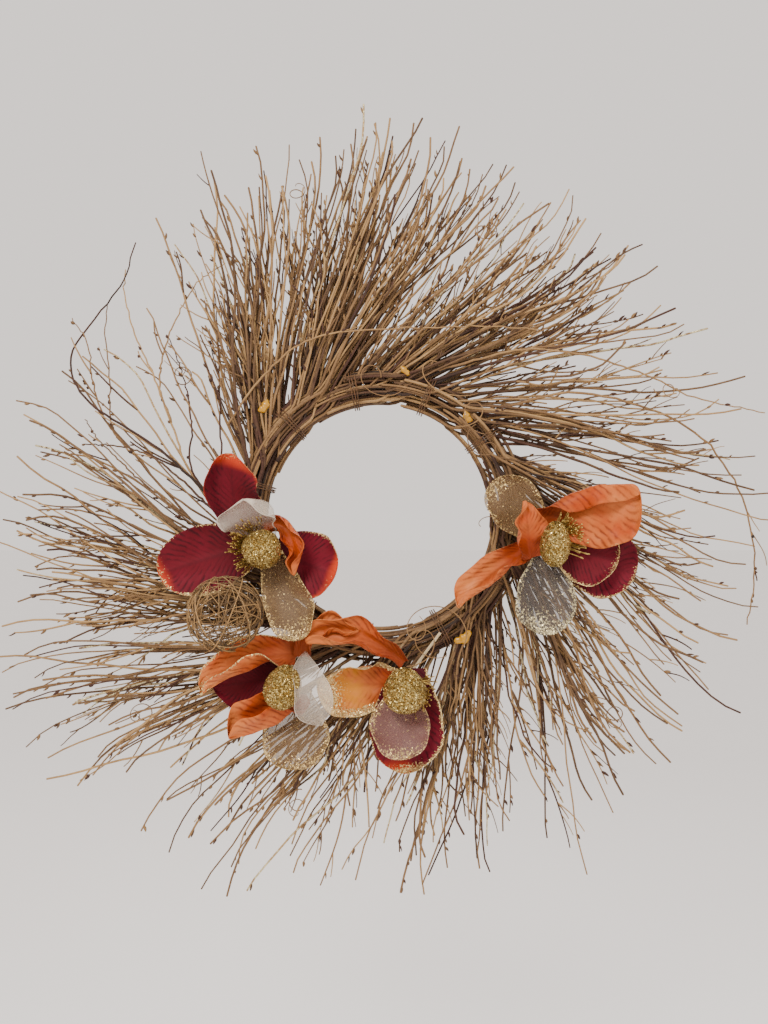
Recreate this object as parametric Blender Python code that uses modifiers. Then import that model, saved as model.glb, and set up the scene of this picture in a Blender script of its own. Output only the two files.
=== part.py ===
"""Harvest door wreath, in metres, +Z up, with its front facing -Y.

Eleven bundles of twigs are lashed round a wire ring, each a little further clockwise than the last, so that
their tips flare out like a pinwheel. Four flower picks, made of a post, a glitter egg, stamens and fabric
petals, and one raffia ball are fixed to the front. The origin is the hang point: the inner edge of the
bundles at the top of the ring, half way through its depth. Clock angles are in degrees, clockwise from the
top as seen from the front.
"""

from math import cos, pi, radians, sin

import bmesh
import bpy
from mathutils import Matrix, Vector

# Ring and bundles
RING_INNER_R = 0.110      # radius of the opening
BUNDLE_R = 0.0205         # radius of a bundle where it lies along the ring
RING_WIRE_R = 0.002
TIE_WIRE_R = 0.0008
CLEARANCE = 0.0003        # between pieces that touch
BUNDLES = 11
FIRST_BUTT = 16.0         # clock angle where the first bundle starts
BUTT_GAP = 0.003          # from the end of one bundle to the start of the next, along the ring
BRANCHES = 6
THIN_BUNDLE = 7           # the bundle, counted from 0, that holds fewer twigs
THIN_BRANCHES = 4
FIRST_LEAVES, LAST_LEAVES = 8.0, 21.0       # where twigs leave the ring, in degrees past the butt
FIRST_TIP, LAST_TIP = 37.0, 62.0            # where their tips are, in degrees past the butt
BRANCH_R, TIP_R = 0.0050, 0.0018
FRONT_FLARE, BACK_FLARE = 0.045, 0.010      # how far forward and back the tips stand
# How far each bundle's tips reach beyond the middle of the ring's thickness, clockwise from the first
REACH = (0.253, 0.262, 0.245, 0.243, 0.258, 0.288, 0.258, 0.218, 0.250, 0.268, 0.250)
TIE_AT = 5.0              # degrees past the butt
TIE_TURNS, TIE_POINTS, TIE_PITCH = 2, 10, 0.0022

# Flowers
STEM_R = 0.0015
POST_R, POST_LENGTH = 0.0065, 0.0190
HUB_R, HUB_THICK = 0.0050, 0.0015
FILAMENT_R = 0.0008
PETAL_THICK = 0.0009
FIRST_LAYER, LAYER_STEP = 0.0035, 0.0037    # petals are glued to the post one in front of the other
BALL_R = 0.0365
BALL_HEADING = 210.5      # clock angle from the left flower to the raffia ball
BALL_SPACE = 0.0343       # from the left flower's axis to the near side of the ball

# Worked out from the above
RING_R = RING_INNER_R + BUNDLE_R
CENTRE = Vector((0, 0, -RING_INNER_R))
PITCH = 360 / BUNDLES
WIRE_Y = BUNDLE_R + CLEARANCE + RING_WIRE_R
TIE_BACK = WIRE_Y + RING_WIRE_R + CLEARANCE + TIE_WIRE_R
TIE_FRONT = BUNDLE_R + CLEARANCE + TIE_WIRE_R
FLOWER_BACK = -(TIE_FRONT / cos(pi / TIE_POINTS) + TIE_WIRE_R + CLEARANCE)
PETAL_START = POST_R + CLEARANCE         # from the post's axis to a petal's root

BARK = (0.36, 0.24, 0.13)
STEEL = (0.10, 0.09, 0.08)
BURGUNDY = (0.28, 0.02, 0.05)
ORANGE = (0.78, 0.25, 0.07)
SHEER_WHITE = (0.80, 0.77, 0.72)
SHEER_BROWN = (0.33, 0.24, 0.15)
SHEER_MAUVE = (0.36, 0.20, 0.19)
GOLD = (0.60, 0.47, 0.20)
STRAW = (0.55, 0.42, 0.24)
STALK = (0.50, 0.42, 0.30)


def make_material(name, colour, roughness, metallic=0.0):
    material = bpy.data.materials.new(name)
    material.use_nodes = True
    shader = material.node_tree.nodes["Principled BSDF"]
    shader.inputs["Base Color"].default_value = (*colour, 1)
    shader.inputs["Roughness"].default_value = roughness
    shader.inputs["Metallic"].default_value = metallic
    material.diffuse_color = (*colour, 1)
    return material


def add_object(name, mesh, colour, roughness, metallic=0.0):
    """A named sub-part with a material of its own."""
    mesh.materials.clear()
    mesh.materials.append(make_material(name, colour, roughness, metallic))
    part = bpy.data.objects.new(name, mesh)
    wreath.objects.link(part)
    return part


def out(clock):
    """The direction away from the ring's centre at a clock angle."""
    return Vector((sin(radians(clock)), 0, cos(radians(clock))))


def on_ring(clock, radius, y=0.0):
    return CENTRE + radius * out(clock) + Vector((0, y, 0))


def tube_mesh(name, points, radii, resolution=1):
    """A capped tube along the points, as a welded mesh."""
    curve = bpy.data.curves.new(name, "CURVE")
    curve.dimensions = "3D"
    curve.bevel_depth = max(radii)
    curve.bevel_resolution = resolution
    curve.use_fill_caps = True
    spline = curve.splines.new("POLY")
    spline.points.add(len(points) - 1)
    for place, point, radius in zip(spline.points, points, radii):
        place.co = (*point, 1)
        place.radius = radius / max(radii)
    holder = bpy.data.objects.new(name, curve)
    bpy.context.scene.collection.objects.link(holder)
    bpy.context.view_layer.update()
    mesh = bpy.data.meshes.new_from_object(holder.evaluated_get(bpy.context.evaluated_depsgraph_get()))
    bpy.data.objects.remove(holder)
    bpy.data.curves.remove(curve)
    shape = bmesh.new()
    shape.from_mesh(mesh)
    bmesh.ops.remove_doubles(shape, verts=shape.verts, dist=0.00005)
    bmesh.ops.recalc_face_normals(shape, faces=shape.faces)
    shape.to_mesh(mesh)
    shape.free()
    return mesh


def joined_mesh(name, meshes):
    """The Boolean union of overlapping closed meshes, as one mesh."""
    holder = bpy.data.objects.new(name, meshes[0])
    joining = bpy.data.collections.new("joining")
    bpy.context.scene.collection.children.link(joining)
    joining.objects.link(holder)
    for number, mesh in enumerate(meshes[1:]):
        other = bpy.data.objects.new(f"{name}_{number}", mesh)
        joining.objects.link(other)
        union = holder.modifiers.new("join", "BOOLEAN")
        union.operation = "UNION"
        union.object = other
    bpy.context.view_layer.update()
    result = bpy.data.meshes.new_from_object(holder.evaluated_get(bpy.context.evaluated_depsgraph_get()))
    for part in list(joining.objects):
        bpy.data.objects.remove(part)
    bpy.data.collections.remove(joining)
    return result


def make_wire_ring():
    """A steel hoop that lies behind the bundles, all the way round."""
    turn = [on_ring(clock, RING_R, WIRE_Y) for clock in range(0, 360, 9)]
    curve = bpy.data.curves.new("wire_ring", "CURVE")
    curve.dimensions = "3D"
    curve.bevel_depth = RING_WIRE_R
    curve.bevel_resolution = 2
    spline = curve.splines.new("POLY")
    spline.points.add(len(turn) - 1)
    for place, point in zip(spline.points, turn):
        place.co = (*point, 1)
    spline.use_cyclic_u = True
    curve.materials.append(make_material("wire_ring", STEEL, 0.45, 1.0))
    wreath.objects.link(bpy.data.objects.new("wire_ring", curve))


def bundle_core(butt):
    """The lashed stems of one bundle: a tapered tube that follows the ring up to the next bundle."""
    gap = BUTT_GAP / RING_R * 180 / pi
    shares = (0, 0.12, 0.3, 0.5, 0.7, 0.88, 1)
    swell = (0.70, 0.93, 1.0, 1.0, 1.0, 0.93, 0.80)
    points = [on_ring(butt + share * (PITCH - gap), RING_R) for share in shares]
    return tube_mesh("core", points, [BUNDLE_R * s for s in swell], 2)


def branch(butt, share, reach, sideways):
    """A tapered twig that leaves the ring along it and turns outwards, to its tip.

    Its radius from the centre grows with the 1.3th power of the way along, and its clock angle runs ahead
    quickly at first and slowly at the end, so that it starts along the ring and ends nearly straight.
    """
    leaves = butt + FIRST_LEAVES + share * (LAST_LEAVES - FIRST_LEAVES)
    tip = butt + FIRST_TIP + share * (LAST_TIP - FIRST_TIP)
    points, radii = [], []
    for way in (0, 0.12, 0.28, 0.48, 0.72, 1):
        clock = leaves + (tip - leaves) * (1 - (1 - way) ** 1.7)
        radius = RING_R + reach * way**1.3
        points.append(on_ring(clock, radius, sideways * way**1.8))
        radii.append(BRANCH_R + (TIP_R - BRANCH_R) * way)
    return tube_mesh("branch", points, radii)


def make_bundle(number):
    """One bundle of twigs: the lashed stems and the branches that fan out of them."""
    butt = FIRST_BUTT + number * PITCH
    branches = THIN_BRANCHES if number == THIN_BUNDLE else BRANCHES
    meshes = [bundle_core(butt)]
    for index in range(branches):
        reach = REACH[number] * (1 - 0.05 * ((index * 2 + number) % 3))
        sideways = -FRONT_FLARE if (index + number) % 3 == 0 else BACK_FLARE * (index % 3 - 1.4)
        meshes.append(branch(butt, index / (branches - 1), reach, sideways))
    name = f"twig_bundle_{number + 1:02d}"
    add_object(name, joined_mesh(name, meshes), BARK, 0.8)


def make_tie(number):
    """Two turns of wire round a bundle's butt end and the wire ring, as an oval helix."""
    clock = FIRST_BUTT + number * PITCH + TIE_AT
    room = 1 / cos(pi / TIE_POINTS)           # the turns' straight runs still clear the bundle
    half_depth = (TIE_FRONT + TIE_BACK) / 2 * room
    half_width = TIE_FRONT * room + CLEARANCE
    middle = (TIE_BACK - TIE_FRONT) / 2
    points = []
    for step in range(TIE_TURNS * TIE_POINTS + 1):
        turn = 2 * pi * step / TIE_POINTS
        along = (step / TIE_POINTS - TIE_TURNS / 2) * TIE_PITCH / RING_R * 180 / pi
        points.append(on_ring(clock + along, RING_R + half_width * cos(turn),
                              middle + half_depth * sin(turn)))
    curve = bpy.data.curves.new(f"tie_wire_{number + 1:02d}", "CURVE")
    curve.dimensions = "3D"
    curve.bevel_depth = TIE_WIRE_R
    curve.bevel_resolution = 2
    curve.use_fill_caps = True
    spline = curve.splines.new("POLY")
    spline.points.add(len(points) - 1)
    for place, point in zip(spline.points, points):
        place.co = (*point, 1)
    curve.materials.append(make_material(curve.name, STEEL, 0.5, 1.0))
    wreath.objects.link(bpy.data.objects.new(curve.name, curve))


def make_pick(name, foot, stem_to):
    """A flower's post, with a stem that lies over the twigs to where it is fixed on the ring.

    foot is the post's place at the back of the flower, and stem_to is the clock angle of the stem's end.
    """
    post = bmesh.new()
    bmesh.ops.create_cone(post, cap_ends=True, segments=12, radius1=POST_R, radius2=POST_R * 0.7,
                          depth=POST_LENGTH)
    turn = Matrix.Rotation(pi / 2, 4, "X")
    place = Matrix.Translation(foot - Vector((0, POST_LENGTH / 2, 0)))
    bmesh.ops.transform(post, matrix=place @ turn, verts=post.verts)
    post_mesh = bpy.data.meshes.new("post")
    post.to_mesh(post_mesh)
    post.free()
    level = Vector((0, -STEM_R, 0))
    end = on_ring(stem_to, RING_R, foot.y)
    stem = tube_mesh("stem", [foot + level, foot.lerp(end, 0.5) + level, end + level], [STEM_R] * 3)
    add_object(name, joined_mesh(name, [post_mesh, stem]), STALK, 0.6)


def make_petal(name, foot, layer, heading, length, width, colour, shift=0.0, lift=0.010, cup=0.003):
    """A fabric petal glued to the post: a sheet, Solidified, whose outline swells and closes like an oval.

    Across, it rises to its two edges by cup, and along, it rises to its tip by lift with the 1.6th power of
    the way. heading is the clock angle that it points to, and shift moves it sideways.
    """
    sheet = bmesh.new()
    bmesh.ops.create_grid(sheet, x_segments=5, y_segments=4, size=1)
    ahead, side = out(heading), out(heading + 90)
    for corner in sheet.verts:
        way, across = (corner.co.x + 1) / 2, corner.co.y
        half = width / 2 * sin(pi * (0.10 + 0.83 * way)) ** 0.7
        rise = FIRST_LAYER + layer * LAYER_STEP + lift * way**1.6 + cup * across**2 * way
        corner.co = (foot + ahead * (PETAL_START + length * way) + side * (shift + half * across)
                     - Vector((0, rise, 0)))
    mesh = bpy.data.meshes.new(name)
    sheet.to_mesh(mesh)
    sheet.free()
    petal = add_object(name, mesh, colour, 0.8)
    wall = petal.modifiers.new("wall", "SOLIDIFY")
    wall.thickness = PETAL_THICK
    wall.offset = 0
    for face in mesh.polygons:
        face.use_smooth = True


def make_egg(name, foot, wide, tall, tilt=0.0):
    """A glitter egg in front of the post: a sphere drawn out along its height and narrowed at the top."""
    shape = bmesh.new()
    bmesh.ops.create_uvsphere(shape, u_segments=14, v_segments=9, radius=1)
    for corner in shape.verts:
        narrow = 1 - 0.10 * corner.co.z
        corner.co = Vector((corner.co.x * wide / 2 * narrow, corner.co.y * wide / 2 * narrow,
                            corner.co.z * tall / 2))
    # The egg is fattest a little below its middle, where it is wider than its nominal width.
    seat = POST_LENGTH + HUB_THICK + 2 * CLEARANCE + 1.03 * wide / 2
    place = Matrix.Translation(foot - Vector((0, seat, 0))) @ Matrix.Rotation(radians(tilt), 4, "Y")
    bmesh.ops.transform(shape, matrix=place, verts=shape.verts)
    mesh = bpy.data.meshes.new(name)
    shape.to_mesh(mesh)
    shape.free()
    for face in mesh.polygons:
        face.use_smooth = True
    add_object(name, mesh, GOLD, 0.35, 0.8)


def make_stamens(name, foot, headings, egg_wide):
    """Gold filaments on a hub between the post and the egg, which bend forward past the egg's side."""
    hub = bmesh.new()
    bmesh.ops.create_cone(hub, cap_ends=True, segments=10, radius1=HUB_R, radius2=HUB_R, depth=HUB_THICK)
    back = foot - Vector((0, POST_LENGTH + CLEARANCE, 0))
    middle = back - Vector((0, HUB_THICK / 2, 0))
    bmesh.ops.transform(hub, matrix=Matrix.Translation(middle) @ Matrix.Rotation(pi / 2, 4, "X"),
                        verts=hub.verts)
    hub_mesh = bpy.data.meshes.new("hub")
    hub.to_mesh(hub_mesh)
    hub.free()
    meshes = [hub_mesh]
    past = egg_wide / 2 + FILAMENT_R + 0.002
    for index, heading in enumerate(headings):
        ahead = out(heading)
        points = [middle + ahead * HUB_R * 0.5, middle + ahead * past,
                  middle + ahead * (past + 0.006) - Vector((0, 0.012 + 0.003 * (index % 2), 0))]
        meshes.append(tube_mesh("filament", points, [FILAMENT_R] * 3, 0))
    add_object(name, joined_mesh(name, meshes), GOLD, 0.4, 0.8)


def make_ball(place):
    """The raffia ball, as its round outer shape."""
    shape = bmesh.new()
    bmesh.ops.create_icosphere(shape, subdivisions=3, radius=BALL_R)
    bmesh.ops.transform(shape, matrix=Matrix.Translation(place), verts=shape.verts)
    mesh = bpy.data.meshes.new("raffia_ball")
    shape.to_mesh(mesh)
    shape.free()
    for face in mesh.polygons:
        face.use_smooth = True
    add_object("raffia_ball", mesh, STRAW, 0.9)


def make_left_flower():
    foot = on_ring(253, RING_R - 0.0155, FLOWER_BACK)
    make_pick("left_pick", foot, 268)
    make_petal("left_burgundy_side", foot, 1, 265, 0.096, 0.060, BURGUNDY, shift=0.003, lift=0.012)
    make_petal("left_burgundy_top", foot, 2, 333, 0.084, 0.050, BURGUNDY, lift=0.018)
    make_petal("left_burgundy_inner", foot, 0, 110, 0.064, 0.056, BURGUNDY, lift=0.014)
    make_petal("left_orange_curl", foot, 1, 68, 0.036, 0.040, ORANGE, lift=0.012)
    make_petal("left_sheer_white", foot, 3, 15, 0.044, 0.048, SHEER_WHITE, lift=0.024)
    make_petal("left_sheer_brown", foot, 3, 162, 0.080, 0.042, SHEER_BROWN, shift=-0.008, lift=0.020)
    make_stamens("left_stamens", foot, (205, 235, 270, 290, 310, 330), 0.038)
    make_egg("left_egg", foot, 0.038, 0.036)
    ball = foot + out(BALL_HEADING) * (BALL_SPACE + BALL_R)
    ball.y = -(BUNDLE_R + BALL_R + CLEARANCE)
    make_ball(ball)


def make_low_flower():
    foot = on_ring(209, RING_R + 0.0550, FLOWER_BACK)
    make_pick("low_pick", foot, 214)
    make_petal("low_orange_side", foot, 1, 256, 0.074, 0.046, ORANGE, shift=0.010, lift=0.008)
    make_petal("low_burgundy", foot, 2, 254, 0.056, 0.034, BURGUNDY, shift=0.002, lift=0.010)
    make_petal("low_orange_bottom", foot, 3, 236, 0.066, 0.040, ORANGE, shift=-0.008, lift=0.016)
    make_petal("low_orange_top", foot, 1, 40, 0.050, 0.036, ORANGE, lift=0.016)
    make_petal("low_sheer_brown", foot, 0, 190, 0.062, 0.054, SHEER_BROWN, lift=0.010)
    make_petal("low_sheer_white", foot, 4, 140, 0.048, 0.032, SHEER_WHITE, lift=0.034)
    make_egg("low_egg", foot, 0.036, 0.042)


def make_middle_flower():
    foot = on_ring(172, RING_R + 0.0360, FLOWER_BACK)
    make_pick("middle_pick", foot, 153)
    make_petal("middle_orange_gold", foot, 0, 268, 0.076, 0.050, ORANGE, lift=0.016)
    make_petal("middle_orange_long", foot, 1, 310, 0.086, 0.034, ORANGE, lift=0.026)
    make_petal("middle_burgundy", foot, 2, 183, 0.094, 0.066, BURGUNDY, lift=0.018)
    make_petal("middle_sheer_mauve", foot, 3, 186, 0.062, 0.052, SHEER_MAUVE, lift=0.014)
    make_stamens("middle_stamens", foot, (60, 85, 110, 135), 0.041)
    make_egg("middle_egg", foot, 0.041, 0.042)


def make_right_flower():
    foot = on_ring(100, RING_R + 0.0370, FLOWER_BACK)
    make_pick("right_pick", foot, 92)
    make_petal("right_orange_large", foot, 3, 66, 0.088, 0.054, ORANGE, lift=0.020)
    make_petal("right_orange_small", foot, 3, 305, 0.040, 0.036, ORANGE, lift=0.028)
    make_petal("right_orange_narrow", foot, 1, 238, 0.098, 0.030, ORANGE, lift=0.016)
    make_petal("right_burgundy_front", foot, 1, 102, 0.056, 0.054, BURGUNDY, lift=0.012)
    make_petal("right_burgundy_back", foot, 0, 106, 0.076, 0.062, BURGUNDY, lift=0.012)
    make_petal("right_sheer_grey", foot, 2, 186, 0.076, 0.052, SHEER_BROWN, lift=0.014)
    make_petal("right_sheer_brown", foot, 0, 318, 0.074, 0.052, SHEER_BROWN, lift=0.006)
    make_stamens("right_stamens", foot, (30, 50, 70, 90, 110), 0.029)
    make_egg("right_egg", foot, 0.029, 0.043)


for thing in list(bpy.data.objects):
    bpy.data.objects.remove(thing)
wreath = bpy.data.collections.new("harvest_door_wreath")
bpy.context.scene.collection.children.link(wreath)

make_wire_ring()
for number in range(BUNDLES):
    make_bundle(number)
    make_tie(number)
make_left_flower()
make_low_flower()
make_middle_flower()
make_right_flower()
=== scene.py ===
"""The looks of the harvest door wreath: twigs, binding wire, petals, glitter eggs, stamens, raffia ball."""

from math import pi, radians

import bpy
import numpy as np
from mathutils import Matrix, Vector


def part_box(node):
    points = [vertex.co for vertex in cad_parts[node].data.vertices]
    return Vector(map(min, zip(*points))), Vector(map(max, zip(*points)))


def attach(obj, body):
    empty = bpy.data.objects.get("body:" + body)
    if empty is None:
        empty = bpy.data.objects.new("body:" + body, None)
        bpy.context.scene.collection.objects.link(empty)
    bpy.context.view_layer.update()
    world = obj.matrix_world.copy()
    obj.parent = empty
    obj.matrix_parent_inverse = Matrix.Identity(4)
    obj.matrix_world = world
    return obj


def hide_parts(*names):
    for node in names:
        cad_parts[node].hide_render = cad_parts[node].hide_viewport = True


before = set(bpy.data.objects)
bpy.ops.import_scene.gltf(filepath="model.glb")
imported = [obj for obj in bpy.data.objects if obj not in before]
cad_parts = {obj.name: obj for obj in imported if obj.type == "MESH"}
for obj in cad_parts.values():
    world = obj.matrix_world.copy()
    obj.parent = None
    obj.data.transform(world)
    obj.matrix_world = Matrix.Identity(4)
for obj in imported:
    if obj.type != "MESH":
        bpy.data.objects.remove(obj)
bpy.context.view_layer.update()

BODY = "root"
FORWARD = np.array((0.0, -1.0, 0.0))


# ---------------------------------------------------------------- places, read from the frame

def box_of(node):
    """A CAD node's lowest and highest corners, as two arrays."""
    low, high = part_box(node)
    return np.array(low), np.array(high)


def middle_of(node):
    """The middle of a CAD node's box."""
    low, high = box_of(node)
    return (low + high) / 2


def clock_of(place):
    """The clock angle of a place, in degrees clockwise from the ring's top."""
    return float(np.degrees(np.arctan2(place[0] - CENTRE[0], place[2] - CENTRE[2])))


def out(clock):
    """The directions away from the ring's centre at clock angles in degrees."""
    turn = np.radians(np.asarray(clock, float))
    return np.stack((np.sin(turn), np.zeros_like(turn), np.cos(turn)), -1)


def polar(clock, radius, depth):
    """Points at clock angles, distances from the ring's centre and depths along +Y."""
    return CENTRE + out(clock) * radius[..., None] + depth[..., None] * np.array((0.0, 1.0, 0.0))


def reach_of(node):
    """How far a CAD bundle's tips stand beyond the middle of the ring's thickness."""
    mesh = bpy.data.objects[node].data
    points = np.empty(len(mesh.vertices) * 3)
    mesh.vertices.foreach_get("co", points)
    offset = points.reshape(-1, 3) - CENTRE
    return float(np.hypot(offset[:, 0], offset[:, 2]).max()) - RING_R


hoop_low, hoop_high = box_of("wire_ring")
WIRE_R = (hoop_high[1] - hoop_low[1]) / 2
CENTRE = np.array(((hoop_low[0] + hoop_high[0]) / 2, 0.0, (hoop_low[2] + hoop_high[2]) / 2))
RING_R = (hoop_high[0] - hoop_low[0]) / 2 - WIRE_R
WIRE_DEPTH = (hoop_low[1] + hoop_high[1]) / 2
BUNDLE_R = WIRE_DEPTH - WIRE_R - 0.0003
DOOR = 0.034              # how far back the loose twigs may spring
FLOWERS_END = 0.250       # how far the flowers' petals reach from the ring's centre
FLOWERS_GAP = 0.0018      # from the front of the lashed twigs to where loose twigs must stop behind petals
SPREAD = 0.030            # how much further forward twigs may stand once they are past the petals,
SPREAD_OVER = 0.09        # and over what distance they come to it
EASE = 0.008              # how far before the door or the flowers a twig begins to level off


# ---------------------------------------------------------------- camera, lights, floor

LOOK_AT = Vector((CENTRE[0] + 0.004, 0.0, CENTRE[2] + 0.003))
CAMERA_AWAY = 0.78
CAMERA_BELOW = 0.027
LENS = 26.9


def make_camera():
    """The camera, a little below the ring's centre and straight in front of it, looking up at it slightly."""
    data = bpy.data.cameras.new("camera")
    data.lens = LENS
    data.sensor_width = 36.0
    camera = bpy.data.objects.new("camera", data)
    camera.location = LOOK_AT + Vector((0.0, -CAMERA_AWAY, -CAMERA_BELOW))
    camera.rotation_euler = (LOOK_AT - camera.location).to_track_quat("-Z", "Y").to_euler()
    bpy.context.scene.collection.objects.link(camera)
    bpy.context.scene.camera = camera


def make_light(name, place, size, power, colour=(1.0, 1.0, 1.0)):
    """A soft square light at a place, turned to the ring's centre."""
    data = bpy.data.lights.new(name, "AREA")
    data.shape = "SQUARE"
    data.size = size
    data.energy = power
    data.color = colour
    light = bpy.data.objects.new(name, data)
    light.location = place
    towards = Vector((0.0, 0.0, CENTRE[2])) - light.location
    light.rotation_euler = towards.to_track_quat("-Z", "Y").to_euler()
    bpy.context.scene.collection.objects.link(light)


# ---------------------------------------------------------------- shader maths

class Wire:
    """A socket of a material's nodes, on which sums and products are written as Python expressions."""

    def __init__(self, finish, socket):
        self.finish, self.socket = finish, socket

    def maths(self, operation, *values, **settings):
        """A Math node on wires or numbers."""
        return self.finish.node("Math", dict(operation=operation, **settings), dict(enumerate(values)))

    def __add__(self, other):
        return self.maths("ADD", self, other)

    def __radd__(self, other):
        return self.maths("ADD", other, self)

    def __sub__(self, other):
        return self.maths("SUBTRACT", self, other)

    def __rsub__(self, other):
        return self.maths("SUBTRACT", other, self)

    def __mul__(self, other):
        return self.maths("MULTIPLY", self, other)

    def __rmul__(self, other):
        return self.maths("MULTIPLY", other, self)

    def __pow__(self, other):
        return self.maths("POWER", self, other)

    def __abs__(self):
        return self.maths("ABSOLUTE", self)

    def sine(self):
        """The sine of a value in radians."""
        return self.maths("SINE", self)

    def most(self, other):
        """The greater of two values."""
        return self.maths("MAXIMUM", self, other)

    def held(self):
        """The value kept between 0 and 1."""
        return self.maths("ADD", self, 0.0, use_clamp=True)

    def step(self, low, high):
        """0 below low and 1 above high, smooth between."""
        values = {"Value": self, "From Min": low, "From Max": high}
        return self.finish.node("MapRange", dict(interpolation_type="SMOOTHSTEP"), values)


class Finish:
    """A material being made: node() adds any node, and surface() ends it with a Principled shader."""

    def __init__(self, name):
        self.material = bpy.data.materials.new(name)
        self.material.use_nodes = True
        self.tree = self.material.node_tree
        self.tree.nodes.clear()

    def node(self, kind, settings=None, values=None, output=0):
        """Any node: its settings are set first, then the number or wire of each socket named in values."""
        node = self.tree.nodes.new("ShaderNode" + kind)
        for key, value in (settings or {}).items():
            setattr(node, key, value)
        for key, value in (values or {}).items():
            if isinstance(value, Wire):
                self.tree.links.new(value.socket, node.inputs[key])
            else:
                node.inputs[key].default_value = value
        return Wire(self, node.outputs[output])

    def place(self):
        """Where a point is on the object, in metres."""
        return self.node("TexCoord", output="Object")

    def own(self, name):
        """The number that a piece's mesh carries under this name."""
        return self.node("Attribute", dict(attribute_name=name), output="Fac")

    def noise(self, scale, detail=3.0):
        """A cloudy value around 0.5. A higher scale makes smaller clouds."""
        values = {"Vector": self.place(), "Scale": scale, "Detail": detail, "Roughness": 0.55}
        return self.node("TexNoise", values=values, output="Fac")

    def flakes(self, scale, output="Color"):
        """Cells of the size of glitter flakes, each with its own random colour."""
        return self.node("TexVoronoi", values={"Vector": self.place(), "Scale": scale}, output=output)

    def blend(self, amount, first, second, how="MIX"):
        """One colour at amount 0 and another at 1."""
        settings = dict(data_type="RGBA", blend_type=how, clamp_factor=True)
        first, second = (side if isinstance(side, Wire) else (*side, 1.0) for side in (first, second))
        return self.node("Mix", settings, {0: amount, 6: first, 7: second}, output=2)

    def tilted(self, colour, strength):
        """The surface's normal, tipped at random by each flake's colour."""
        off = self.node("VectorMath", dict(operation="SUBTRACT"), {0: colour, 1: (0.5, 0.5, 0.5)})
        off = self.node("VectorMath", dict(operation="SCALE"), {0: off, "Scale": strength})
        normal = self.node("NewGeometry", output="Normal")
        tipped = self.node("VectorMath", dict(operation="ADD"), {0: normal, 1: off})
        return self.node("VectorMath", dict(operation="NORMALIZE"), {0: tipped})

    def bump(self, height, distance, strength=1.0):
        """The surface's normal, pressed in and out by a height."""
        return self.node("Bump", values={"Height": height, "Distance": distance, "Strength": strength})

    def either(self, amount, plain, gilded):
        """One normal at amount 0 and another at 1."""
        return self.node("Mix", dict(data_type="VECTOR"), {0: amount, 4: plain, 5: gilded}, output=1)

    def surface(self, **inputs):
        """Ends the material. Input names are the shader's own, with _ for a space."""
        values = {key.replace("_", " "): value for key, value in inputs.items()}
        shader = self.node("BsdfPrincipled", values=values)
        end = self.tree.nodes.new("ShaderNodeOutputMaterial")
        self.tree.links.new(shader.socket, end.inputs["Surface"])
        return self.material


def tint(red, green, blue):
    """A colour given as seen, turned into the linear one that shaders take."""
    seen = np.array((red, green, blue)) / 255
    linear = np.where(seen <= 0.04045, seen / 12.92, ((seen + 0.055) / 1.055) ** 2.4)
    return tuple(float(channel) for channel in linear)


STRAW, TAN, BROWN = tint(170, 135, 88), tint(124, 92, 57), tint(80, 56, 34)
RED_BARK, DARK = tint(66, 36, 22), tint(38, 25, 16)
AMBER = tint(190, 122, 24)
GOLD, PALE_GOLD, CHAMPAGNE = tint(188, 138, 52), tint(240, 222, 168), tint(176, 166, 134)
VEIN_DEPTH = 0.75         # how much of the deep colour a petal's veins take
GLITTER_SCALE = 820.0     # flakes in a metre on the eggs


def bark_finish():
    """Dry bark: each twig its own tone from straw to dark brown, darker on the ring, with streaks and
    patches, and with glitter on a few tips."""
    finish = Finish("dry_bark")
    tone = finish.own("tone")
    streak = finish.noise(420.0, 4.0)
    patch = finish.noise(38.0, 2.0)
    ends = {0: finish.place(), 1: tuple(CENTRE)}
    from_centre = finish.node("VectorMath", dict(operation="DISTANCE"), ends, "Value")
    # darker on the ring and inside it, fading out between 0.15 and 0.22 m from the centre
    darker_on_ring = 1 - from_centre.step(0.150, 0.220)
    share = (tone + (patch - 0.5) * 0.45 + (streak - 0.5) * 0.35 - 0.15 * darker_on_ring).held()
    colour = finish.node("ValToRGB", values={"Fac": share})
    ramp = colour.socket.node.color_ramp
    ramp.elements[0].color = (*DARK, 1.0)
    ramp.elements[1].color = (*STRAW, 1.0)
    for position, stop in ((0.22, RED_BARK), (0.36, BROWN), (0.66, TAN)):
        ramp.elements.new(position).color = (*stop, 1.0)
    crust = (finish.own("glitter") * finish.noise(260.0, 2.0).step(0.42, 0.56)).held()
    colour = finish.blend(crust, colour, finish.blend(finish.noise(900.0), CHAMPAGNE, PALE_GOLD))
    streaked = finish.bump(streak + 0.8 * crust, 0.0009, 0.7)
    sparkling = finish.tilted(finish.flakes(1500.0), 1.3)
    return finish.surface(Base_Color=colour, Roughness=0.86 - 0.5 * crust, Metallic=0.75 * crust,
                          Normal=finish.either(crust, streaked, sparkling))


def steel_finish():
    """Soft iron wire, brown where a noise lets it rust, and rougher there."""
    finish = Finish("annealed_wire")
    rust = finish.noise(300.0).step(0.35, 0.6)
    colour = finish.blend(rust, tint(84, 66, 50), tint(104, 70, 42))
    return finish.surface(Base_Color=colour, Roughness=0.5 + 0.3 * rust, Metallic=0.7 - 0.5 * rust,
                          Normal=finish.bump(rust, 0.0002))


def vein_pattern(finish, count, slant, wander):
    """Feathered veins: thin dark strokes where a wave along the petal peaks. The wave lags towards the
    edges and wanders with a noise, and the strokes fade towards the midrib and come and go with another."""
    along, across = finish.own("along"), abs(finish.own("across"))
    wave = (along - slant * across + 0.10 * across * across) * count + finish.noise(55.0, 4.0) * wander
    strokes = ((wave * (2 * pi)).sine() * 0.5 + 0.5) ** 2.6
    return strokes * (0.25 + 0.75 * across.step(0.05, 0.6)) * finish.noise(110.0, 2.0).step(0.30, 0.62)


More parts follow.
